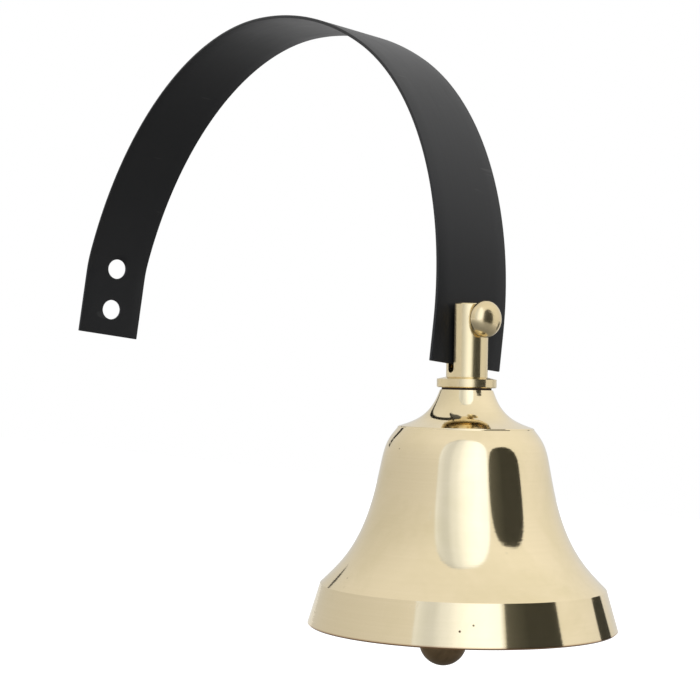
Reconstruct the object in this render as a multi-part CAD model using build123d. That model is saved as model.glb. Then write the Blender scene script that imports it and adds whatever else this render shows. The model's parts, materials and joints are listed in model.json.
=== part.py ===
"""A brass bell on a bent spring-steel strip that screws to a wall or a door frame.

Sizes are in millimetres. The origin is on the wall face, midway between the two screw holes.
+X points away from the wall, +Y lies across the strip and +Z points up.
"""

from build123d import *
import os
from math import cos, degrees, radians, sin, sqrt

os.makedirs("parts", exist_ok=True)

# ---- Spring strip -----------------------------------------------------------------------------------
strip_width = 25.0
strip_thickness = 1.0
hole_radius = 3.75
hole_spacing = 15.9
end_margin = 9.95  # from the lower hole to the strip's end
pad_length = 23.0  # flat on the wall
hook_bends = ((8.0, 30.0), (138.7, 105.9), (65.6, 145.4), (107.0, 99.7))  # length, radius
tail_length = 10.7  # straight, in the post's slot

# ---- Bell head: heights are measured up the post from the top of the bell's crown --------------------
post_radius = 5.85
post_top = 24.2
post_chamfer = 0.3
slot_width = 2.4
slot_bottom = 4.7
collar_radius = 8.4
collar_bottom = 0.6
collar_top = 3.0
collar_cone_top = 3.6
collar_chamfer = 0.25
strip_end_height = 6.6
strip_setback = 0.4  # the strip's middle plane lies this far behind the post's axis
screw_height = 19.8
screw_across = -0.9  # of the clamp screw from the strip's centre line
side_lean = 6.1  # degrees that the post is turned in the strip's plane, its foot towards +Y

# ---- Clamp screw: lengths are measured forward from the post's axis ------------------------------------
screw_tip = 0.15
screw_radius = 1.95
screw_hole_radius = 2.0
neck_radius = 2.6
neck_start = 6.0
head_radius = 5.2
head_middle = 7.6
head_back = 1.6
head_front = 3.4

# ---- Bell: each outline point is a radius and a depth below the top of the crown ----------------------
neck_outline = ((7.45, 0.0), (8.75, 3.1), (10.15, 5.3), (12.55, 7.6), (18.8, 10.4))
waist_outline = (
    (19.0, 10.7),
    (21.45, 14.0),
    (23.6, 20.9),
    (25.5, 29.9),
    (28.4, 38.8),
    (33.4, 47.6),
    (40.0, 54.7),
)
rim_radius = 43.3
rim_depth = 66.2
rim_rounding = 0.4
rim_inner_radius = 40.3
inner_outline = (
    (37.2, 55.2),
    (31.3, 48.4),
    (26.1, 39.2),
    (23.4, 30.0),
    (21.5, 21.2),
    (18.6, 14.8),
    (14.0, 11.0),
    (9.0, 9.0),
)
ceiling_depth = inner_outline[-1][1]
stud_hole_radius = 4.1

# ---- Crown fittings -----------------------------------------------------------------------------------
stud_radius = 4.0
stud_end = 17.0  # depth
seat_washer_radius = 7.0
inner_washer_radius = 8.0
inner_washer_thickness = 1.0
spring_washer_radius = 6.8
spring_washer_thickness = 1.6
spring_washer_gap = 1.5
spring_washer_slant = 25.0  # degrees that the split leans
nut_across_flats = 13.0
nut_height = 4.0
nut_chamfer = 0.5
washer_low = -ceiling_depth - inner_washer_thickness
spring_low = washer_low - spring_washer_thickness
nut_low = spring_low - nut_height

# ---- Clapper ------------------------------------------------------------------------------------------
eye_wire = 1.1  # wire sizes are radii, and loop sizes are the radii of their centre lines
eye_loop = 3.1
eye_drop = 5.0  # of the loop's centre below the stud's end
eye_shank_radius = 2.0
eye_shank_length = 8.0
link_wire = 0.9
link_loop = 4.2
rod_wire = 1.0
rod_loop = 2.9
rod_radius = 1.25
link_play = 0.15  # between two hooked wires
ball_radius = 6.7
ball_below_rim = 4.1
rod_into_ball = 5.0

cut_margin = 1.0  # how far a cutting tool runs past the surface it cuts


def strip_side(offset):
    """Edges at a distance outside the strip's centre line, with the centre line's end and heading."""
    point = Vector(strip_thickness / 2, -hole_spacing / 2 - end_margin)
    heading = 90.0
    edges = []
    for length, radius in ((pad_length, None), *hook_bends, (tail_length, None)):
        ahead = Vector(cos(radians(heading)), sin(radians(heading)))
        outward = Vector(-ahead.Y, ahead.X)
        if radius is None:
            end = point + ahead * length
            edges.append(Line(point + outward * offset, end + outward * offset))
        else:
            centre = point - outward * radius
            turn = degrees(length / radius)
            edges.append(CenterArc(centre, radius + offset, heading + 90, -turn))
            heading -= turn
            end = centre + Vector(-sin(radians(heading)), cos(radians(heading))) * radius
        point = end
    return edges, point, heading


def ring(radius, hole, low, high):
    """A flat ring between two heights."""
    body = Cylinder(radius, high - low, align=(Align.CENTER, Align.CENTER, Align.MIN))
    bore = Cylinder(hole, high - low, align=(Align.CENTER, Align.CENTER, Align.MIN))
    return Pos(0, 0, low) * (body - bore)


def rod(radius, low, high):
    return Pos(0, 0, low) * Cylinder(radius, high - low, align=(Align.CENTER, Align.CENTER, Align.MIN))


# ---- Where the bell head hangs --------------------------------------------------------------------------
_, tail_end, tail_heading = strip_side(0)
strip_up = Vector(-cos(radians(tail_heading)), 0, -sin(radians(tail_heading)))
strip_front = Vector(-sin(radians(tail_heading)), 0, cos(radians(tail_heading)))
across = Vector(0, 1, 0)
post_up = strip_up * cos(radians(side_lean)) - across * sin(radians(side_lean))
end_across = screw_across + (screw_height - strip_end_height) * sin(radians(side_lean))
strip_end = Vector(tail_end.X, 0, tail_end.Y)
crown = strip_end + strip_front * strip_setback + across * end_across - post_up * strip_end_height
head = Plane(origin=crown, x_dir=strip_front, z_dir=post_up).location


def spring_strip():
    outer, _, _ = strip_side(strip_thickness / 2)
    inner, _, _ = strip_side(-strip_thickness / 2)
    wall_cap = Line(inner[0] @ 0, outer[0] @ 0)
    tail_cap = Line(outer[-1] @ 1, inner[-1] @ 1)
    section = Plane.XZ * Face(Wire([*outer, tail_cap, *inner, wall_cap]))
    strip = extrude(section, strip_width / 2, both=True)
    drill_length = 2 * (strip_thickness + 2 * cut_margin)
    for height in (-hole_spacing / 2, hole_spacing / 2):
        strip -= Pos(0, 0, height) * Rot(0, 90, 0) * Cylinder(hole_radius, drill_length)
    return strip


def hanger_post():
    """The slotted post, its collar and the stud that the bell hangs on, turned from one bar."""
    outline = Polyline(
        (0, -stud_end),
        (stud_radius - post_chamfer, -stud_end),
        (stud_radius, -stud_end + post_chamfer),
        (stud_radius, collar_bottom),
        (collar_radius - collar_chamfer, collar_bottom),
        (collar_radius, collar_bottom + collar_chamfer),
        (collar_radius, collar_top),
        (post_radius, collar_cone_top),
        (post_radius, post_top - post_chamfer),
        (post_radius - post_chamfer, post_top),
        (0, post_top),
        close=True,
    )
    body = revolve(Plane.XZ * Face(Wire(outline.edges())), Axis.Z)
    slot_run = 2 * (post_radius + cut_margin)
    slot_foot = Pos(0, 0, slot_bottom + slot_width / 2)
    slot_round = slot_foot * Rot(90, 0, 0) * Cylinder(slot_width / 2, slot_run)
    slot = slot_foot * Box(
        slot_width, slot_run, post_top, align=(Align.CENTER, Align.CENTER, Align.MIN)
    )
    screw_bore = rod(screw_hole_radius, 0, post_radius + cut_margin)
    screw_hole = Pos(0, 0, screw_height) * Rot(0, 90, 0) * screw_bore
    eye_hole = rod(eye_shank_radius, -stud_end - cut_margin, -stud_end + eye_shank_length)
    return head * (body - slot_round - slot - screw_hole - eye_hole)


def thumb_screw():
    """A clamp screw with a flattened ball for a head."""
    front = EllipticalCenterArc((head_middle, 0), head_front, head_radius, 0, arc_size=90)
    back = EllipticalCenterArc((head_middle, 0), head_back, head_radius, 90, arc_size=90)
    half_ball = Face(Wire([front, back, Line(back @ 1, front @ 0)]))
    ball = revolve(half_ball, Axis.X)
    shank = Rot(0, 90, 0) * rod(screw_radius, screw_tip, head_middle)
    neck = Rot(0, 90, 0) * rod(neck_radius, neck_start, head_middle)
    return head * Pos(0, 0, screw_height) * (ball + shank + neck)


def bell():
    def at(point):
        return (point[0], -point[1])

    neck = Spline([at(p) for p in neck_outline])
    waist = Spline([at(p) for p in waist_outline])
    inside = Spline([at(p) for p in inner_outline])
    edges = [
        Line((stud_hole_radius, 0), neck @ 0),
        neck,
        Line(neck @ 1, waist @ 0),
        waist,
        Line(waist @ 1, (rim_radius, -rim_depth + rim_rounding)),
        Line((rim_radius, -rim_depth + rim_rounding), (rim_radius - rim_rounding, -rim_depth)),
        Line((rim_radius - rim_rounding, -rim_depth), (rim_inner_radius, -rim_depth)),
        Line((rim_inner_radius, -rim_depth), inside @ 0),
        inside,
        Line(inside @ 1, (stud_hole_radius, -ceiling_depth)),
        Line((stud_hole_radius, -ceiling_depth), (stud_hole_radius, 0)),
    ]
    return head * revolve(Plane.XZ * Face(Wire(edges)), Axis.Z)


def seat_washer():
    return head * ring(seat_washer_radius, stud_hole_radius, 0, collar_bottom)


def inner_washer():
    return head * ring(inner_washer_radius, stud_hole_radius, washer_low, -ceiling_depth)


def spring_washer():
    washer = ring(spring_washer_radius, stud_hole_radius, spring_low, washer_low)
    middle = Pos(spring_washer_radius, 0, (spring_low + washer_low) / 2)
    saw = Box(spring_washer_radius, spring_washer_gap, spring_washer_thickness + 2 * cut_margin)
    return head * (washer - middle * Rot(spring_washer_slant, 0, 0) * saw)


def crown_nut():
    corner_radius = nut_across_flats / sqrt(3)
    hexagon = extrude(Pos(0, 0, nut_low) * RegularPolygon(corner_radius, 6), nut_height)
    turned = rod(corner_radius, nut_low, spring_low)
    rims = turned.edges().filter_by(GeomType.CIRCLE)
    turned = chamfer(rims, length=nut_chamfer, length2=2 * nut_chamfer)
    bore = rod(stud_radius, nut_low - cut_margin, spring_low + cut_margin)
    return head * ((hexagon & turned) - bore)


def clapper_eye():
    """A screw eye in the end of the stud, its loop in the post's own YZ plane."""
    loop = Rot(0, 90, 0) * Torus(eye_loop, eye_wire)
    shank = rod(eye_shank_radius, eye_drop, eye_drop + eye_shank_length)
    stem = rod(eye_wire, eye_loop, eye_drop)
    return head * Pos(0, 0, -stud_end - eye_drop) * (loop + shank + stem)


# ---- The clapper hangs plumb from the lowest point of the eye -----------------------------------------
eye_centre = crown - post_up * (stud_end + eye_drop)
loop_down = Vector(0, 0, -1) - strip_front * Vector(0, 0, -1).dot(strip_front)
eye_low = eye_centre + loop_down.normalized() * eye_loop
link_pivot = eye_low
rod_pivot = link_pivot + Vector(0, 0, eye_wire + link_wire + link_play - 2 * link_loop)
rim_centre = crown - post_up * rim_depth
rim_height = rim_centre.Z - (
    post_up.X * (link_pivot.X - rim_centre.X) + post_up.Y * (link_pivot.Y - rim_centre.Y)
) / post_up.Z
ball_centre = Vector(link_pivot.X, link_pivot.Y, rim_height - ball_below_rim)


def clapper_link():
    centre = link_pivot + Vector(0, 0, eye_wire + link_wire + link_play - link_loop)
    return Location(centre) * Rot(90, 0, 0) * Torus(link_loop, link_wire)


def clapper_rod():
    centre = rod_pivot + Vector(0, 0, link_wire + rod_wire + link_play - rod_loop)
    loop = Location(centre) * Rot(0, 90, 0) * Torus(rod_loop, rod_wire)
    rod_end = ball_centre + Vector(0, 0, ball_radius - rod_into_ball)
    length = centre.Z - rod_loop - rod_end.Z
    return loop + Location(rod_end) * rod(rod_radius, 0, length)


def clapper_ball():
    socket = Pos(0, 0, ball_radius - rod_into_ball) * rod(rod_radius, 0, ball_radius)
    return Location(ball_centre) * (Sphere(ball_radius) - socket)


for build in (
    spring_strip,
    hanger_post,
    thumb_screw,
    seat_washer,
    bell,
    inner_washer,
    spring_washer,
    crown_nut,
    clapper_eye,
    clapper_link,
    clapper_rod,
    clapper_ball,
):
    export_step(build(), f"parts/{build.__name__}.step")
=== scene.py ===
"""A polished brass bell on a black spring-steel strip, finished around its measured frame.

Lengths are in metres. +X points away from the wall, +Y lies across the strip and +Z points up.
"""

import json
from math import asin, cos, pi, radians, sin

import bmesh
import bpy
import numpy as np
from mathutils import Matrix, Vector


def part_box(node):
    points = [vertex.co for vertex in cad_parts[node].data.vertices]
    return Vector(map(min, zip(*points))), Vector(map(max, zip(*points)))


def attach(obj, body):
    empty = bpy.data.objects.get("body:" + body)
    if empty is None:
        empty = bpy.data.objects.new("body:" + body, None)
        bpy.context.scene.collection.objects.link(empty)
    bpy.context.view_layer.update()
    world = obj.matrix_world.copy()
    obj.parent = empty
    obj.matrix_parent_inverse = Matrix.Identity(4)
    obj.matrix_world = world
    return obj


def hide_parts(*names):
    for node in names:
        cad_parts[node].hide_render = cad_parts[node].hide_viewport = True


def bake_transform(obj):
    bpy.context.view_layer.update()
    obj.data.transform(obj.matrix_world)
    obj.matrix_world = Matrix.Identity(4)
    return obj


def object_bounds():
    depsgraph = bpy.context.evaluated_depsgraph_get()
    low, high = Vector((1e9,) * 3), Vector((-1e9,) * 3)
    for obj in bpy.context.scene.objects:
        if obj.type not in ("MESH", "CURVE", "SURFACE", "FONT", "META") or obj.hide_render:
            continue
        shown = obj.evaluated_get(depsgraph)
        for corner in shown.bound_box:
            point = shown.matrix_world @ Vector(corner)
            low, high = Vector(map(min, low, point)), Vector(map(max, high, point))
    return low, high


MM = 0.001

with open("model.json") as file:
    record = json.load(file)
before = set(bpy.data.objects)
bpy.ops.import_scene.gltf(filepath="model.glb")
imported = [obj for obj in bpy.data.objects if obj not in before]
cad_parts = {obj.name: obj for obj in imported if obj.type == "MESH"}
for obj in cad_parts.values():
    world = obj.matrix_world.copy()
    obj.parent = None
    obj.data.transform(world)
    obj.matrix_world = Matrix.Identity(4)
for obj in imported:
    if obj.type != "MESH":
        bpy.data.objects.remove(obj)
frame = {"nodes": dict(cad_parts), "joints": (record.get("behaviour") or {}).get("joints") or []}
nodes = frame["nodes"]
joints = {joint["name"]: joint for joint in frame["joints"]}
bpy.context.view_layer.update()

# ---- Strip: the same run of straights and bends as the frame's own -------------------------------
STRIP_WIDTH = 25.0 * MM
STRIP_THICKNESS = 1.0 * MM
STRIP_EDGE_ROUND = 0.28 * MM
PAD_FOOT = -17.9 * MM
STRIP_RUNS = ((23.0, None), (8.0, 30.0), (138.7, 105.9), (65.6, 145.4), (107.0, 99.7), (10.7, None))
HOLE_RADIUS = 3.75 * MM
HOLE_HEIGHTS = (-7.95 * MM, 7.95 * MM)
HOLE_BREAK = 0.18 * MM  # the deburred edge of each hole
HOLE_FACETS = 64
CORNER_STEPS = 4  # round each long edge
FLAT_STEPS = 6  # across each face

# ---- Bell: radius and depth below the crown, in millimetres --------------------------------------
NECK = ((7.45, 0.0), (8.75, 3.1), (10.15, 5.3), (12.55, 7.6), (18.8, 10.4))
WAIST = (
    (19.0, 10.7),
    (21.45, 14.0),
    (23.6, 20.9),
    (25.5, 29.9),
    (28.4, 38.8),
    (33.4, 47.6),
    (40.0, 54.7),
)
SKIRT = ((40.0, 54.7), (43.3, 65.8))
RIM = ((43.3, 65.8), (42.9, 66.2), (40.3, 66.2))
LIP_DEPTH = RIM[-1][1] * MM
INSIDE = (
    (37.2, 55.2),
    (31.3, 48.4),
    (26.1, 39.2),
    (23.4, 30.0),
    (21.5, 21.2),
    (18.6, 14.8),
    (14.0, 11.0),
    (9.0, 9.0),
)
SIDE_LEAN = radians(6.1)
SHOULDER_BEAD = ((18.86, 10.58), (19.04, 10.54), (19.15, 10.66), (19.16, 10.84))
STUD_HOLE = 4.1
CEILING_ABOVE = 8.0 * MM  # depth above which no part of the inner ceiling lies
CROWN_TO_SCREW = 19.8 * MM
BELL_FACETS = 360
NECK_STEPS, WAIST_STEPS, SKIRT_STEPS, INSIDE_STEPS = 28, 72, 12, 60

# ---- Clamp screw, in millimetres forward from the post's axis, and clapper ball ------------------
SCREW_TIP = 0.15
SCREW_TIP_BREAK = 0.2
SCREW_RADIUS = 1.95
SCREW_NECK_START = 6.0
SCREW_NECK_RADIUS = 2.6
HEAD_MIDDLE = 7.6
HEAD_BACK = 1.6
HEAD_FRONT = 3.4
HEAD_RADIUS = 5.2
BALL_RADIUS = 6.7 * MM
BALL_FLAT = 1.45  # radius of the flat round the rod, in rod radii
BALL_BORE = 0.4 * MM
ROD_RADIUS = 1.25 * MM
TURNED_FACETS = 128

# ---- Finishes: colours, in pairs where one varies, and how deep and how rough their marks are ----
PIT_BROWN = (0.10, 0.06, 0.03, 1)
LIP_BROWN = (0.42, 0.22, 0.10, 1)
PAINT_BLACK = ((0.0045, 0.0045, 0.0048, 1), (0.0075, 0.0074, 0.0074, 1))
PAINT_SCRATCH = (0.022, 0.021, 0.020, 1)
BRONZE = ((0.150, 0.098, 0.048, 1), (0.320, 0.220, 0.115, 1))
STEEL = ((0.55, 0.55, 0.56, 1), (0.42, 0.42, 0.43, 1))
FIBRE = ((0.030, 0.018, 0.012, 1), (0.075, 0.045, 0.028, 1))
PIT_DEPTH = 0.04 * MM
BUFFING_DEPTH = 0.008 * MM
PAINT_GRAIN_DEPTH = 0.012 * MM
BRONZE_DEPTH = 0.06 * MM
PIT_ROUGH, SCRATCH_ROUGH, RING_ROUGH = 0.35, 0.10, 0.04
RING_TONE = 0.18  # how much of the darker brass shows in the lowest rings
LIP_BAND = (0.8 * MM, 0.2 * MM)  # above the lip, where its brown starts and is full

# ---- Camera and studio ---------------------------------------------------------------------------
CAMERA_PLACE = (0.6008, -0.2994, -0.0419)
CAMERA_AZIMUTH = 55.43  # this and every other angle here is in degrees
CAMERA_ELEVATION = -2.64
CAMERA_ROLL = 7.57
CAMERA_LENS = 88.0
SENSOR_WIDTH = 36.0
CARD_DISTANCE = 1.5
FLOOR_DROP = 0.16
FLOOR_REACH = 6.0
FLOOR_GLOW = 0.45
FLOOR_WHITE = (0.93, 0.93, 0.93)
FLOOR_PAINTED_SHADE = (0.30, 0.30, 0.30, 1)  # painted shade on the floor near the bell, seen only in reflections
FLOOR_PALE_SIDE = -140.0
FLOOR_SIDE_FADE = (0.10, 0.7)  # metres towards that side, from painted shade to white
FLOOR_FAR_FADE = (0.5, 1.9)  # metres outward, from painted shade to white
SOFTBOX_LEFT = -43.0
SOFTBOX_RIGHT = 25.0
SOFTBOX_GLOW = 1.78
SOFTBOX_LEVELS = (
    (0.0, 0.82),
    (0.05, 0.58),
    (0.14, 0.51),
    (0.22, 0.51),
    (0.30, 0.62),
    (0.38, 0.67),
    (0.47, 0.80),
    (0.62, 0.94),
    (0.78, 1.0),
    (1.0, 0.93),
)
SOFTBOX_HEIGHT = (27.0, 34.0)  # middle and half height, in degrees, here and below
SOFTBOX_COLOUR = (0.82, 0.88, 1.0, 1)
SOFTBOX_EDGE = (0.0, 0.08, 0.72, 1.0)  # over this share inward from its edge, the glow between these
SCREEN_LEFT = 25.4
SCREEN_RIGHT = 74.0
SCREEN_DARK_FROM = 45.0  # from its left edge to here the screen carries painted softbox light
SCREEN_HEIGHT = (8.0, 36.0)
# painted light near the screen's left edge, then its own dark tone
SCREEN_PAINTED_LIGHT_TONES = ((0.170, 0.170, 0.147, 1), (0.066, 0.066, 0.056, 1))
STAND_MIDDLE, STAND_HALF = (120.5, 2.0), (9.0, 9.5)
STAND_DISTANCE = 0.35
ROOM_BRIGHT_SIDE = 60.0
ROOM_HEIGHTS = (-0.35, 0.75)  # of a direction's Z, from dim to bright
ROOM_LOW_TO_HIGH = (0.73, 1.05)
ROOM_DIM_TO_BRIGHT = (0.765, 1.0)


# ==== Shapes ======================================================================================
def new_piece(name, vertices, faces):
    """An object with a mesh of its own, in the scene."""
    mesh = bpy.data.meshes.new(name)
    mesh.from_pydata([tuple(v) for v in vertices], [], faces)
    mesh.validate()
    piece = bpy.data.objects.new(name, mesh)
    bpy.context.collection.objects.link(piece)
    return piece


def tidy_mesh(piece, sharp_angle=radians(30)):
    """Merge doubled points, turn every face outward and shade smooth but for the crisp edges."""
    work = bmesh.new()
    work.from_mesh(piece.data)
    bmesh.ops.remove_doubles(work, verts=work.verts, dist=1e-7)
    bmesh.ops.recalc_face_normals(work, faces=work.faces)
    for face in work.faces:
        face.smooth = True
    for edge in work.edges:
        joins_two = len(edge.link_faces) == 2
        edge.smooth = joins_two and edge.calc_face_angle(0) < sharp_angle
    work.to_mesh(piece.data)
    work.free()


def through(points, steps):
    """Points along the natural cubic curve through a few points, spaced by their chords."""
    given = np.array(points, float)
    chords = np.linalg.norm(np.diff(given, axis=0), axis=1)
    knots = np.concatenate([[0], np.cumsum(chords)])
    count = len(given)
    system, right = np.eye(count), np.zeros((count, 2))
    for i in range(1, count - 1):
        before, after = chords[i - 1], chords[i]
        system[i, i - 1 : i + 2] = before, 2 * (before + after), after
        right[i] = 6 * ((given[i + 1] - given[i]) / after - (given[i] - given[i - 1]) / before)
    bend = np.linalg.solve(system, right)
    result = []
    for t in np.linspace(0, knots[-1], steps):
        i = min(int(np.searchsorted(knots, t, side="right")) - 1, count - 2)
        span = chords[i]
        a, b = (knots[i + 1] - t) / span, (t - knots[i]) / span
        cubic = ((a**3 - a) * bend[i] + (b**3 - b) * bend[i + 1]) * span**2 / 6
        result.append(a * given[i] + b * given[i + 1] + cubic)
    return result


def lathe(name, outline, facets):
    """A turned piece about its own Z axis, from (radius, height) points that close on themselves."""
    ring_count = len(outline)
    vertices = []
    for i in range(facets):
        turn = 2 * pi * i / facets
        vertices += [(r * cos(turn), r * sin(turn), z) for r, z in outline]
    faces = []
    for i in range(facets):
        here, there = i * ring_count, (i + 1) % facets * ring_count
        for j in range(ring_count):
            k = (j + 1) % ring_count
            faces.append((here + j, there + j, there + k, here + k))
    return new_piece(name, vertices, faces)


def strip_stations(step=1.0):
    """Centre points and headings of the strip every millimetre or so, from the wall end."""
    x, z, heading = STRIP_THICKNESS / 2, PAD_FOOT, pi / 2
    stations = [(x, z, heading)]
    for length, radius in STRIP_RUNS:
        count = round(length / step)
        part = length / count * MM
        turn = 0 if radius is None else length / count / radius
        for _ in range(count):
            x += part * cos(heading - turn / 2)
            z += part * sin(heading - turn / 2)
            heading -= turn
            stations.append((x, z, heading))
    return stations


def strip_section(inset=0.0):
    """The strip's rounded section as (across, outward) points, drawn in by an inset."""
    radius = STRIP_EDGE_ROUND - inset
    half_flat = STRIP_WIDTH / 2 - inset - radius
    half_side = STRIP_THICKNESS / 2 - inset - radius
    points = []
    corners = ((1, 1, 0), (-1, 1, pi / 2), (-1, -1, pi), (1, -1, 3 * pi / 2))
    for side, face, start in corners:
        for k in range(CORNER_STEPS + 1):
            angle = start + k * pi / 2 / CORNER_STEPS
            across = side * half_flat + radius * cos(angle)
            points.append((across, face * half_side + radius * sin(angle)))
    return [p for i in range(len(points)) for p in fill_flat(points, i)]


def fill_flat(points, i):
    """A point, and the points that divide the long flat after it."""
    here, after = points[i], points[(i + 1) % len(points)]
    if abs(here[0] - after[0]) < STRIP_WIDTH / 2:
        return [here]
    steps = [k / FLAT_STEPS for k in range(FLAT_STEPS)]
    return [tuple(h + (a - h) * step for h, a in zip(here, after)) for step in steps]


def make_strip():
    """The bent strip with its rounded edges, broken ends and two wall holes."""
    stations = strip_stations()
    end_break = STRIP_EDGE_ROUND / 2
    vertices, faces = [], []

    def add_ring(station, inset, ahead):
        x, z, heading = station
        x, z = x + ahead * cos(heading), z + ahead * sin(heading)
        for across, outward in strip_section(inset):
            vertices.append((x - outward * sin(heading), across, z + outward * cos(heading)))

    add_ring(stations[0], end_break, 0)
    add_ring(stations[0], 0, end_break)
    for station in stations[1:-1]:
        add_ring(station, 0, 0)
    add_ring(stations[-1], 0, -end_break)
    add_ring(stations[-1], end_break, 0)
    width = len(strip_section())
    rings = len(vertices) // width
    for i in range(rings - 1):
        for j in range(width):
            k = (j + 1) % width
            faces.append((i * width + j, i * width + k, (i + 1) * width + k, (i + 1) * width + j))
    faces.append(tuple(range(width)))
    faces.append(tuple(range((rings - 1) * width, rings * width)))
    strip = new_piece("strip_black", vertices, faces)
    tidy_mesh(strip)
    for height in HOLE_HEIGHTS:
        cut_hole(strip, height)
    tidy_mesh(strip, sharp_angle=radians(35))
    return strip


def cut_hole(strip, height):
    """A round hole with both its edges broken."""
    far = STRIP_THICKNESS * 3
    wide = HOLE_RADIUS + HOLE_BREAK + far
    outline = [
        (0, -far),
        (wide, -far),
        (HOLE_RADIUS, HOLE_BREAK),
        (HOLE_RADIUS, STRIP_THICKNESS - HOLE_BREAK),
        (wide, STRIP_THICKNESS + far),
        (0, STRIP_THICKNESS + far),
    ]
    cutter = lathe("hole_cutter", outline, HOLE_FACETS)
    tidy_mesh(cutter)
    cutter.matrix_world = Matrix.Translation((0, 0, height)) @ Matrix.Rotation(pi / 2, 4, "Y")
    cut = strip.modifiers.new("hole", "BOOLEAN")
    cut.object, cut.operation, cut.solver = cutter, "DIFFERENCE", "EXACT"
    apply_modifiers(strip)
    bpy.data.objects.remove(cutter)


def apply_modifiers(piece):
    """Keep what the modifiers make as the piece's own mesh."""
    bpy.context.view_layer.update()
    depsgraph = bpy.context.evaluated_depsgraph_get()
    finished = bpy.data.meshes.new_from_object(piece.evaluated_get(depsgraph))
    piece.modifiers.clear()
    piece.data = finished


def head_place():
    """The crown's place, with Z up the post and X square to the strip, from the frame's joints."""
    screw = joints["screw_turn"]
    front = Vector(screw["axis"]).normalized()
    screw_point = Vector(screw["pos_m"])
    strip_up = Vector((0, 1, 0)).cross(front) * -1
    up = strip_up * cos(SIDE_LEAN) - Vector((0, 1, 0)) * sin(SIDE_LEAN)
    side = up.cross(front)
    origin = screw_point - up * CROWN_TO_SCREW
    place = Matrix((front, side, up)).transposed().to_4x4()
    place.translation = origin
    return place


def make_bell(place):
    """The bell, turned from its outline, with a small bead at the shoulder."""
    waist = through(WAIST, WAIST_STEPS)[2:]  # the bead takes the place of its first two points
    outer = [*through(NECK, NECK_STEPS), *SHOULDER_BEAD, *waist, *through(SKIRT, SKIRT_STEPS)]
    inner = through(INSIDE, INSIDE_STEPS)
    outline = [(STUD_HOLE, 0.0), *outer, *RIM[1:], *inner, (STUD_HOLE, INSIDE[-1][1])]
    bell = lathe("bell_polished", [(r * MM, -d * MM) for r, d in outline], BELL_FACETS)
    tidy_mesh(bell, sharp_angle=radians(16))
    bell.data.transform(place)
    return bell


def finish_inside(bell, material, place):
    """The bell's inner wall and ceiling keep their dull turned surface."""
    bell.data.materials.append(material)
    up = place.to_3x3() @ Vector((0, 0, 1))
    slightly, mostly = 0.05, 0.5
    inside_lip = RIM[-1][0] * MM * 0.98
    for face in bell.data.polygons:
        from_crown = Vector(face.center) - place.translation
        depth = -from_crown.dot(up)
        outward = from_crown + up * depth
        facing_in = face.normal.dot(outward.normalized()) < -slightly
        facing_down = face.normal.dot(up) < -mostly
        ceiling = facing_down and depth > CEILING_ABOVE and outward.length < inside_lip
        face.material_index = 1 if facing_in or ceiling else 0


def make_thumb_screw(place):
    """The clamp screw: shank, short neck and a flattened ball, turned about its own axis."""
    back_turns, front_turns = np.linspace(0, pi / 2, 24), np.linspace(0, pi / 2, 33)[1:]
    back = [(HEAD_RADIUS * sin(t), HEAD_MIDDLE - HEAD_BACK * cos(t)) for t in back_turns]
    back = [point for point in back if point[0] > SCREW_NECK_RADIUS]
    front = [(HEAD_RADIUS * cos(t), HEAD_MIDDLE + HEAD_FRONT * sin(t)) for t in front_turns]
    outline = [
        (0.0, SCREW_TIP),
        (SCREW_RADIUS - SCREW_TIP_BREAK, SCREW_TIP),
        (SCREW_RADIUS, SCREW_TIP + SCREW_TIP_BREAK),
        (SCREW_RADIUS, SCREW_NECK_START),
        (SCREW_NECK_RADIUS, SCREW_NECK_START),
        (SCREW_NECK_RADIUS, back[0][1]),
        *back,
        *front,
    ]
    screw = lathe("thumb_screw_turned", [(r * MM, z * MM) for r, z in outline], TURNED_FACETS)
    tidy_mesh(screw, sharp_angle=radians(25))
    forward = Matrix.Translation((0, 0, CROWN_TO_SCREW)) @ Matrix.Rotation(pi / 2, 4, "Y")
    screw.data.transform(place @ forward)
    return screw


def make_clapper_ball():
    """A ball with a small flat, and the mouth of a bore, where the rod enters it."""
    low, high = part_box("clapper_ball")
    centre = Vector(((low.x + high.x) / 2, (low.y + high.y) / 2, low.z + BALL_RADIUS))
    flat = asin(ROD_RADIUS * BALL_FLAT / BALL_RADIUS)
    curve = [(BALL_RADIUS * sin(t), BALL_RADIUS * cos(t)) for t in np.linspace(flat, pi, 72)]
    top = curve[0][1]
    bore = [(0, top - BALL_BORE), (ROD_RADIUS, top - BALL_BORE), (ROD_RADIUS, top)]
    ball = lathe("clapper_ball_turned", [*bore, *curve], TURNED_FACETS)
    tidy_mesh(ball, sharp_angle=radians(25))
    ball.data.transform(Matrix.Translation(centre))
    return ball


# ==== Shared finishes =============================================================================
def group_with(name, inputs, outputs):
    """An empty shader group with named sockets, and its input and output nodes."""
    group = bpy.data.node_groups.new(name, "ShaderNodeTree")
    for label, kind, value in inputs:
        socket = group.interface.new_socket(label, in_out="INPUT", socket_type=kind)
        if value is not None:
            socket.default_value = value
    for label, kind in outputs:
        group.interface.new_socket(label, in_out="OUTPUT", socket_type=kind)
    return group, group.nodes.new("NodeGroupInput"), group.nodes.new("NodeGroupOutput")


def math_node(tree, operation, *values, clamp=False):
    """The result of one sum on sockets or plain numbers."""
    node = tree.nodes.new("ShaderNodeMath")
    node.operation, node.use_clamp = operation, clamp
    for i, value in enumerate(values):
        if isinstance(value, bpy.types.NodeSocket):
            tree.links.new(value, node.inputs[i])
        else:
            node.inputs[i].default_value = value
    return node.outputs[0]


def noise(tree, vector, scale, detail=2.0, roughness=0.5, distortion=0.0):
    """A smooth random value from 0 to 1 over the given coordinates."""
    node = tree.nodes.new("ShaderNodeTexNoise")
    node.inputs["Scale"].default_value = scale
    node.inputs["Detail"].default_value = detail
    node.inputs["Roughness"].default_value = roughness
    node.inputs["Distortion"].default_value = distortion
    tree.links.new(vector, node.inputs["Vector"])
    return node.outputs["Fac"]


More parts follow.
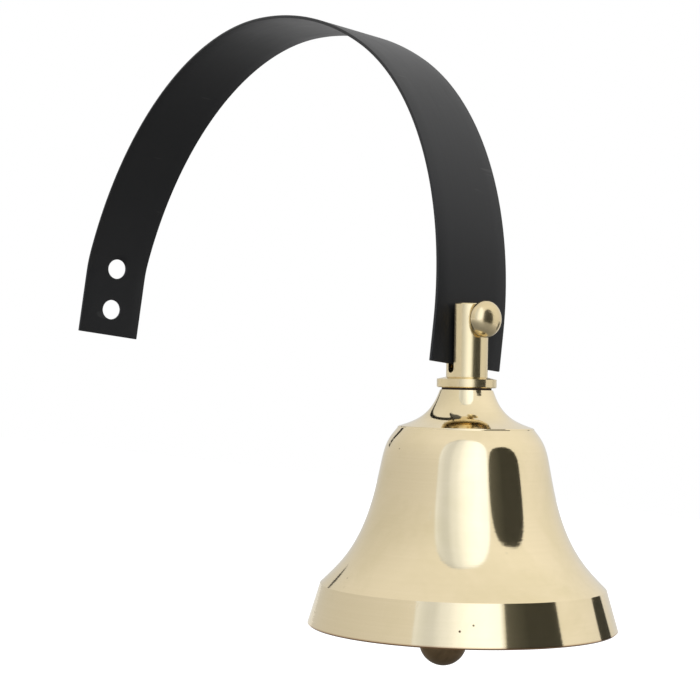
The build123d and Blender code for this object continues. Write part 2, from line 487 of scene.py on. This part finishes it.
def spread(tree, value, low, high, to_low=0.0, to_high=1.0):
    """A value between two limits, spread over a new range and held at its ends."""
    node = tree.nodes.new("ShaderNodeMapRange")
    tree.links.new(value, node.inputs["Value"])
    node.inputs["From Min"].default_value = low
    node.inputs["From Max"].default_value = high
    node.inputs["To Min"].default_value = to_low
    node.inputs["To Max"].default_value = to_high
    return node.outputs[0]


def mix_colour(tree, factor, first, second):
    """A colour that goes from the first to the second as the factor goes from 0 to 1."""
    node = tree.nodes.new("ShaderNodeMix")
    node.data_type = "RGBA"
    for socket, value in zip((node.inputs[0], node.inputs[6], node.inputs[7]), (factor, first, second)):
        if isinstance(value, bpy.types.NodeSocket):
            tree.links.new(value, socket)
        else:
            socket.default_value = value
    return node.outputs[2]


def lathe_lines_group():
    """Fine rings left by turning and buffing: a height that varies along the piece's axis."""
    group, source, result = group_with(
        "lathe_lines",
        (("Place", "NodeSocketVector", None), ("Lines per Metre", "NodeSocketFloat", 900.0)),
        (("Height", "NodeSocketFloat"),),
    )
    wander = 6.0  # how fast a ring changes round the piece
    split = group.nodes.new("ShaderNodeSeparateXYZ")
    group.links.new(source.outputs["Place"], split.inputs[0])
    along = math_node(group, "MULTIPLY", split.outputs[2], source.outputs["Lines per Metre"])
    rings = group.nodes.new("ShaderNodeCombineXYZ")
    group.links.new(along, rings.inputs[2])
    for sideways in (0, 1):
        slow = math_node(group, "MULTIPLY", split.outputs[sideways], wander)
        group.links.new(slow, rings.inputs[sideways])
    height = noise(group, rings.outputs[0], 1.0, detail=3.0, roughness=0.6)
    group.links.new(height, result.inputs["Height"])
    return group


def handling_group():
    """Pits, short scratches and a breath of haze from handling."""
    group, source, result = group_with(
        "handling",
        (("Place", "NodeSocketVector", None), ("Size", "NodeSocketFloat", 1.0)),
        (("Pits", "NodeSocketFloat"), ("Scratches", "NodeSocketFloat"), ("Haze", "NodeSocketFloat")),
    )
    cells_per_metre, pit_patches, haze_patches = 260.0, 95.0, 38.0
    pit_edge, patch_edge, scratch_edge = (0.05, 0.11), (0.66, 0.70), (0.745, 0.76)
    scratch_runs = ((0.5, 14.0), (-0.9, 11.0))  # turn, and how much longer than wide
    scaled = group.nodes.new("ShaderNodeVectorMath")
    scaled.operation = "SCALE"
    group.links.new(source.outputs["Place"], scaled.inputs[0])
    group.links.new(source.outputs["Size"], scaled.inputs["Scale"])
    place = scaled.outputs[0]
    cells = group.nodes.new("ShaderNodeTexVoronoi")
    cells.inputs["Scale"].default_value = cells_per_metre
    group.links.new(place, cells.inputs["Vector"])
    rare = noise(group, place, pit_patches, detail=1.0)
    pit = spread(group, cells.outputs["Distance"], *pit_edge, 1.0, 0.0)
    chosen = spread(group, rare, *patch_edge)
    group.links.new(math_node(group, "MULTIPLY", pit, chosen, clamp=True), result.inputs["Pits"])
    lines = None
    for turn, stretch in scratch_runs:
        turned = group.nodes.new("ShaderNodeMapping")
        turned.inputs["Rotation"].default_value = (turn, turn * 0.6, turn)
        turned.inputs["Scale"].default_value = (stretch * 60, 60, stretch * 12)
        group.links.new(place, turned.inputs["Vector"])
        streak = spread(group, noise(group, turned.outputs[0], 1.0, detail=1.0), *scratch_edge)
        lines = streak if lines is None else math_node(group, "MAXIMUM", lines, streak)
    group.links.new(lines, result.inputs["Scratches"])
    haze = noise(group, place, haze_patches, detail=4.0, roughness=0.6, distortion=0.4)
    group.links.new(haze, result.inputs["Haze"])
    return group


LATHE_LINES = lathe_lines_group()
HANDLING = handling_group()


def use_group(tree, group, place, **values):
    """The outputs of a shared group, placed in a material with its own values."""
    node = tree.nodes.new("ShaderNodeGroup")
    node.node_tree = group
    tree.links.new(place, node.inputs["Place"])
    for label, value in values.items():
        node.inputs[label.replace("_", " ")].default_value = value
    return node.outputs


def new_finish(name):
    """A material with its tree, its shader and the piece's own coordinates."""
    material = bpy.data.materials.new(name)
    material.use_nodes = True
    tree = material.node_tree
    shader = tree.nodes["Principled BSDF"]
    place = tree.nodes.new("ShaderNodeTexCoord").outputs["Object"]
    return material, tree, shader, place


def turned_to(tree, place, centre, up):
    """Object coordinates measured from a centre, with Z along a given axis."""
    shift = tree.nodes.new("ShaderNodeVectorMath")
    shift.operation = "SUBTRACT"
    tree.links.new(place, shift.inputs[0])
    shift.inputs[1].default_value = tuple(centre)
    turn = tree.nodes.new("ShaderNodeVectorRotate")
    turn.rotation_type = "EULER_XYZ"
    tree.links.new(shift.outputs[0], turn.inputs["Vector"])
    turn.inputs["Rotation"].default_value = Vector(up).rotation_difference(Vector((0, 0, 1))).to_euler()
    return turn.outputs[0]


def brass(name, colour, roughness, lines, line_depth, axis, haze=0.05, tarnish=0.10, lip=None):
    """Lacquered or bare brass, turned about its axis and buffed. A lip, given its depth, is browned."""
    material, tree, shader, place = new_finish(name)
    place = turned_to(tree, place, *axis)
    rings = use_group(tree, LATHE_LINES, place, Lines_per_Metre=lines)["Height"]
    wear = use_group(tree, HANDLING, place)
    darker = tuple(c * (1 - tarnish) for c in colour[:2]) + (colour[2] * (1 - 1.6 * tarnish), 1)
    patches = spread(tree, wear["Haze"], 0.42, 0.72)
    tone = mix_colour(tree, patches, (*colour, 1), darker)
    ringed = mix_colour(tree, spread(tree, rings, 0.35, 0.65, RING_TONE, 0.0), tone, darker)
    if lip:
        split = tree.nodes.new("ShaderNodeSeparateXYZ")
        tree.links.new(place, split.inputs[0])
        near_lip = spread(tree, split.outputs[2], *(above - lip for above in LIP_BAND))
        ringed = mix_colour(tree, near_lip, ringed, LIP_BROWN)
    spots = mix_colour(tree, wear["Pits"], ringed, PIT_BROWN)
    tree.links.new(spots, shader.inputs["Base Color"])
    shader.inputs["Metallic"].default_value = 1.0
    worn = math_node(tree, "MULTIPLY_ADD", wear["Haze"], haze, roughness)
    worn = math_node(tree, "MULTIPLY_ADD", wear["Scratches"], SCRATCH_ROUGH, worn)
    worn = math_node(tree, "MULTIPLY_ADD", rings, RING_ROUGH, worn)
    worn = math_node(tree, "MULTIPLY_ADD", wear["Pits"], PIT_ROUGH, worn, clamp=True)
    tree.links.new(worn, shader.inputs["Roughness"])
    height = math_node(tree, "MULTIPLY", rings, line_depth)
    buffed = noise(tree, place, 150.0, detail=1.0)
    height = math_node(tree, "MULTIPLY_ADD", buffed, BUFFING_DEPTH, height)
    height = math_node(tree, "MULTIPLY_ADD", wear["Pits"], -PIT_DEPTH, height)
    height = math_node(tree, "MULTIPLY_ADD", wear["Scratches"], -line_depth * 0.6, height)
    bump = tree.nodes.new("ShaderNodeBump")
    bump.inputs["Strength"].default_value = 1.0
    bump.inputs["Distance"].default_value = 1.0
    tree.links.new(height, bump.inputs["Height"])
    tree.links.new(bump.outputs[0], shader.inputs["Normal"])
    return material


def black_spring_steel():
    """Spring steel under thin black paint: satin, with a faint roller grain along the strip."""
    material, tree, shader, place = new_finish("black_spring_steel")
    wear = use_group(tree, HANDLING, place, Size=0.7)
    stretched = tree.nodes.new("ShaderNodeMapping")
    stretched.inputs["Scale"].default_value = (60, 1400, 60)
    tree.links.new(place, stretched.inputs["Vector"])
    grain = noise(tree, stretched.outputs[0], 1.0, detail=3.0)
    tone = mix_colour(tree, spread(tree, wear["Haze"], 0.3, 0.8), *PAINT_BLACK)
    rubbed = mix_colour(tree, wear["Scratches"], tone, PAINT_SCRATCH)
    tree.links.new(rubbed, shader.inputs["Base Color"])
    shader.inputs["Specular IOR Level"].default_value = 0.48
    rough = math_node(tree, "MULTIPLY_ADD", wear["Haze"], 0.12, 0.36)
    tree.links.new(math_node(tree, "MULTIPLY_ADD", grain, 0.06, rough), shader.inputs["Roughness"])
    bump = tree.nodes.new("ShaderNodeBump")
    bump.inputs["Distance"].default_value = PAINT_GRAIN_DEPTH
    tree.links.new(grain, bump.inputs["Height"])
    tree.links.new(bump.outputs[0], shader.inputs["Normal"])
    return material


def dark_bronze():
    """The clapper's ball: brown, half matte, with rubbed patches."""
    material, tree, shader, place = new_finish("dark_bronze")
    wear = use_group(tree, HANDLING, place, Size=1.6)
    tone = mix_colour(tree, spread(tree, wear["Haze"], 0.35, 0.68), *BRONZE)
    tree.links.new(tone, shader.inputs["Base Color"])
    shader.inputs["Metallic"].default_value = 0.92
    tree.links.new(spread(tree, wear["Haze"], 0.3, 0.8, 0.50, 0.34), shader.inputs["Roughness"])
    bump = tree.nodes.new("ShaderNodeBump")
    bump.inputs["Distance"].default_value = BRONZE_DEPTH
    tree.links.new(wear["Haze"], bump.inputs["Height"])
    tree.links.new(bump.outputs[0], shader.inputs["Normal"])
    return material


def bright_steel():
    """Plain steel with a patchy shine."""
    material, tree, shader, place = new_finish("bright_steel")
    wear = use_group(tree, HANDLING, place)
    tone = mix_colour(tree, spread(tree, wear["Haze"], 0.3, 0.7), *STEEL)
    tree.links.new(tone, shader.inputs["Base Color"])
    shader.inputs["Metallic"].default_value = 1.0
    tree.links.new(spread(tree, wear["Haze"], 0.2, 0.8, 0.22, 0.38), shader.inputs["Roughness"])
    return material


def dark_fibre():
    """Pressed brown fibre, matt."""
    material, tree, shader, place = new_finish("dark_fibre")
    wear = use_group(tree, HANDLING, place, Size=4.0)
    tone = mix_colour(tree, wear["Haze"], *FIBRE)
    tree.links.new(tone, shader.inputs["Base Color"])
    tree.links.new(spread(tree, wear["Haze"], 0.2, 0.8, 0.65, 0.85), shader.inputs["Roughness"])
    return material


# ==== Pieces ======================================================================================
def wear_finish(piece, material):
    """Give a piece one finish in place of any it has."""
    piece.data.materials.clear()
    piece.data.materials.append(material)


place = head_place()
post_axis = (place.translation, place.to_3x3() @ Vector((0, 0, 1)))
screw_axis = (joints["screw_turn"]["pos_m"], joints["screw_turn"]["axis"])

polished = brass(
    "polished_brass", (0.90, 0.76, 0.50), 0.035, 1500.0, 0.012 * MM, post_axis, lip=LIP_DEPTH
)
cast_inside = brass(
    "cast_brass_inside", (0.60, 0.46, 0.25), 0.34, 700.0, 0.04 * MM, post_axis, haze=0.20, tarnish=0.30
)
turned_post = brass("turned_brass_post", (0.82, 0.68, 0.42), 0.15, 2600.0, 0.003 * MM, post_axis)
turned_screw = brass(
    "turned_brass_screw",
    (0.84, 0.69, 0.43),
    0.12,
    2600.0,
    0.0022 * MM,
    screw_axis,
    haze=0.12,
    tarnish=0.22,
)
dull = brass(
    "dull_brass", (0.56, 0.42, 0.22), 0.28, 1800.0, 0.006 * MM, post_axis, haze=0.15, tarnish=0.25
)

strip = make_strip()
wear_finish(strip, black_spring_steel())
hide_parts("spring_strip")
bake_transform(strip)

bell = make_bell(place)
wear_finish(bell, polished)
finish_inside(bell, cast_inside, place)
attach(bell, "bell_head")
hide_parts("bell")

screw = make_thumb_screw(place)
wear_finish(screw, turned_screw)
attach(screw, "clamp_screw")
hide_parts("thumb_screw")

ball = make_clapper_ball()
wear_finish(ball, dark_bronze())
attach(ball, "clapper")
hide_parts("clapper_ball")

NODE_FINISHES = {
    "hanger_post": turned_post,
    "seat_washer": dark_fibre(),
    "inner_washer": dull,
    "spring_washer": bright_steel(),
    "crown_nut": dull,
    "clapper_eye": dull,
    "clapper_link": dull,
    "clapper_rod": dull,
}
for name, finish in NODE_FINISHES.items():
    wear_finish(nodes[name], finish)


# ==== Studio ======================================================================================
def around(target, azimuth, elevation, distance):
    """A point round a target; azimuth 0 is on the camera's side, turning to its right."""
    a, e = radians(CAMERA_AZIMUTH + azimuth), radians(elevation)
    return Vector(target) + Vector((sin(a) * cos(e), -cos(a) * cos(e), sin(e))) * distance


def dome_card(name, target, middle, reach, squareness, finish, distance=CARD_DISTANCE):
    """A curved card with rounded corners on a dome round the target, seen only in reflections."""
    rings, spokes = 10, 48
    vertices = [around(target, *middle, distance)]
    for i in range(1, rings + 1):
        for j in range(spokes):
            c, s = cos(2 * pi * j / spokes), sin(2 * pi * j / spokes)
            across = abs(c) ** (2 / squareness) * (1 if c > 0 else -1) * i / rings
            upward = abs(s) ** (2 / squareness) * (1 if s > 0 else -1) * i / rings
            azimuth, elevation = middle[0] + reach[0] * across, middle[1] + reach[1] * upward
            vertices.append(around(target, azimuth, elevation, distance))
    faces = [(0, 1 + j, 1 + (j + 1) % spokes) for j in range(spokes)]
    for i in range(rings - 1):
        inner, outer = 1 + i * spokes, 1 + (i + 1) * spokes
        for j in range(spokes):
            k = (j + 1) % spokes
            faces.append((inner + j, outer + j, outer + k, inner + k))
    piece = new_piece(name, vertices, faces)
    inward = piece.data.attributes.new("inward", "FLOAT", "POINT")
    levels = [1.0] + [1 - i / rings for i in range(1, rings + 1) for _ in range(spokes)]
    inward.data.foreach_set("value", levels)
    wear_finish(piece, finish)
    piece.visible_camera = False
    piece.visible_shadow = False
    return piece


def plain(name, colour, roughness):
    """One even colour, for what is only a backdrop."""
    material, tree, shader, _ = new_finish(name)
    shader.inputs["Base Color"].default_value = (*colour, 1)
    shader.inputs["Roughness"].default_value = roughness
    return material


def bearing(tree, target):
    """The angle of a point on a card round the target, from the camera's side towards the right."""
    offset = tree.nodes.new("ShaderNodeVectorMath")
    offset.operation = "SUBTRACT"
    tree.links.new(tree.nodes.new("ShaderNodeTexCoord").outputs["Object"], offset.inputs[0])
    offset.inputs[1].default_value = target
    sides = []
    for direction in (around((0, 0, 0), 90, 0, 1), around((0, 0, 0), 0, 0, 1)):
        dot = tree.nodes.new("ShaderNodeVectorMath")
        dot.operation = "DOT_PRODUCT"
        tree.links.new(offset.outputs[0], dot.inputs[0])
        dot.inputs[1].default_value = direction
        sides.append(dot.outputs["Value"])
    return math_node(tree, "ARCTAN2", *sides)


def black_cloth(target):
    """Black cloth with a little painted softbox light near its left edge."""
    material = plain("black_cloth", (0, 0, 0), 0.9)
    tree = material.node_tree
    away = spread(tree, bearing(tree, target), radians(SCREEN_LEFT), radians(SCREEN_DARK_FROM))
    # The lighter tone near the left edge is painted light from the softbox.
    tone = mix_colour(tree, away, *SCREEN_PAINTED_LIGHT_TONES)
    tree.links.new(tone, tree.nodes["Principled BSDF"].inputs["Base Color"])
    return material


def softbox_cloth(target):
    """A lit diffuser: brightest on the right, with a dimmer wing on the left and soft edges."""
    material = plain("softbox_cloth", (0, 0, 0), 1.0)
    tree = material.node_tree
    shader = tree.nodes["Principled BSDF"]
    shader.inputs["Specular IOR Level"].default_value = 0.0
    shader.inputs["Emission Color"].default_value = SOFTBOX_COLOUR
    across = spread(tree, bearing(tree, target), radians(SOFTBOX_LEFT), radians(SOFTBOX_RIGHT))
    ramp = tree.nodes.new("ShaderNodeValToRGB")
    tree.links.new(across, ramp.inputs[0])
    for _ in range(len(SOFTBOX_LEVELS) - 2):
        ramp.color_ramp.elements.new(0.5)
    for element, (at, level) in zip(ramp.color_ramp.elements, SOFTBOX_LEVELS):
        element.position, element.color = at, (level, level, level, 1)
    inward = tree.nodes.new("ShaderNodeAttribute")
    inward.attribute_name = "inward"
    soft = spread(tree, inward.outputs["Fac"], *SOFTBOX_EDGE)
    glow = math_node(tree, "MULTIPLY", ramp.outputs["Color"], soft)
    tree.links.new(math_node(tree, "MULTIPLY", glow, SOFTBOX_GLOW), shader.inputs["Emission Strength"])
    return material


def pale_floor():
    """A matt white floor with painted shade near the bell, seen only in reflections, and clear from
    below.
    """
    material = plain("pale_floor", FLOOR_WHITE, 0.6)
    tree = material.node_tree
    shader = tree.nodes["Principled BSDF"]
    shader.inputs["Emission Color"].default_value = (1, 1, 1, 1)
    place = tree.nodes.new("ShaderNodeTexCoord").outputs["Object"]
    seen = tree.nodes.new("ShaderNodeLightPath").outputs["Is Camera Ray"]
    behind = tree.nodes.new("ShaderNodeVectorMath")
    behind.operation = "DOT_PRODUCT"
    tree.links.new(place, behind.inputs[0])
    behind.inputs[1].default_value = around((0, 0, 0), FLOOR_PALE_SIDE, 0, 1)
    distance = tree.nodes.new("ShaderNodeVectorMath")
    distance.operation = "LENGTH"
    tree.links.new(place, distance.inputs[0])
    # Near the bell the floor's colour is painted shade, seen only in reflections; it turns white
    # towards one side and far out.
    sideways = spread(tree, behind.outputs["Value"], *FLOOR_SIDE_FADE)
    outward = spread(tree, distance.outputs["Value"], *FLOOR_FAR_FADE)
    out_of_painted_shade = math_node(tree, "MAXIMUM", sideways, outward)
    shaded_in_reflections = mix_colour(tree, out_of_painted_shade, FLOOR_PAINTED_SHADE, (*FLOOR_WHITE, 1))
    colour = mix_colour(tree, seen, shaded_in_reflections, (*FLOOR_WHITE, 1))
    tree.links.new(colour, shader.inputs["Base Color"])
    tree.links.new(math_node(tree, "MULTIPLY", seen, FLOOR_GLOW), shader.inputs["Emission Strength"])
    from_below = tree.nodes.new("ShaderNodeMixShader")
    tree.links.new(tree.nodes.new("ShaderNodeNewGeometry").outputs["Backfacing"], from_below.inputs[0])
    tree.links.new(shader.outputs[0], from_below.inputs[1])
    tree.links.new(tree.nodes.new("ShaderNodeBsdfTransparent").outputs[0], from_below.inputs[2])
    tree.links.new(from_below.outputs[0], tree.nodes["Material Output"].inputs["Surface"])
    return material


def pale_room():
    """White to look at; in reflections, dimmer low down and away from its bright side."""
    world = bpy.data.worlds.new("studio")
    world.use_nodes = True
    tree = world.node_tree
    seen, room = tree.nodes["Background"], tree.nodes.new("ShaderNodeBackground")
    for light in (seen, room):
        light.inputs["Color"].default_value = (1, 1, 1, 1)
    direction = tree.nodes.new("ShaderNodeTexCoord").outputs["Generated"]
    height = tree.nodes.new("ShaderNodeSeparateXYZ")
    tree.links.new(direction, height.inputs[0])
    to_bright = tree.nodes.new("ShaderNodeVectorMath")
    to_bright.operation = "DOT_PRODUCT"
    tree.links.new(direction, to_bright.inputs[0])
    to_bright.inputs[1].default_value = around((0, 0, 0), ROOM_BRIGHT_SIDE, 0, 1)
    upward = spread(tree, height.outputs[2], *ROOM_HEIGHTS, *ROOM_LOW_TO_HIGH)
    sideways = spread(tree, to_bright.outputs["Value"], -1.0, 1.0, *ROOM_DIM_TO_BRIGHT)
    tree.links.new(math_node(tree, "MULTIPLY", upward, sideways), room.inputs["Strength"])
    ray = tree.nodes.new("ShaderNodeLightPath")
    mix = tree.nodes.new("ShaderNodeMixShader")
    tree.links.new(ray.outputs["Is Camera Ray"], mix.inputs[0])
    tree.links.new(room.outputs[0], mix.inputs[1])
    tree.links.new(seen.outputs[0], mix.inputs[2])
    tree.links.new(mix.outputs[0], tree.nodes["World Output"].inputs[0])
    bpy.context.scene.world = world


def make_studio():
    """The floor, the cards that the brass reflects and the room's light."""
    low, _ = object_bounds()
    floor_height = low.z - FLOOR_DROP
    corners = ((-1, -1), (1, -1), (1, 1), (-1, 1))
    floor_points = [(x * FLOOR_REACH, y * FLOOR_REACH, floor_height) for x, y in corners]
    floor = new_piece("floor", floor_points, [(0, 1, 2, 3)])
    wear_finish(floor, pale_floor())

    bell_low, bell_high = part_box("bell")
    target = (bell_low + bell_high) / 2
    lit, dark = softbox_cloth(target), black_cloth(target)
    for name, left, right, height, squareness, finish in (
        ("softbox", SOFTBOX_LEFT, SOFTBOX_RIGHT, SOFTBOX_HEIGHT, 3.0, lit),
        ("black_screen", SCREEN_LEFT, SCREEN_RIGHT, SCREEN_HEIGHT, 2.8, dark),
    ):
        middle, half = (left + right) / 2, (right - left) / 2
        dome_card(name, target, (middle, height[0]), (half, height[1]), squareness, finish)
    dome_card("black_stand", target, STAND_MIDDLE, STAND_HALF, 6.0, dark, STAND_DISTANCE)
    pale_room()


def make_camera():
    """The camera, level at its azimuth and elevation and then rolled."""
    data = bpy.data.cameras.new("camera")
    data.sensor_width, data.lens = SENSOR_WIDTH, CAMERA_LENS
    data.clip_start, data.clip_end = 0.01, 50.0
    camera = bpy.data.objects.new("camera", data)
    back = around((0, 0, 0), 0, CAMERA_ELEVATION, 1)
    camera.rotation_mode = "QUATERNION"
    level = back.to_track_quat("Z", "Y")
    camera.rotation_quaternion = level @ Matrix.Rotation(radians(CAMERA_ROLL), 3, "Z").to_quaternion()
    camera.location = CAMERA_PLACE
    bpy.context.collection.objects.link(camera)
    bpy.context.scene.camera = camera


make_studio()
make_camera()
bpy.context.scene.view_settings.view_transform = "Standard"
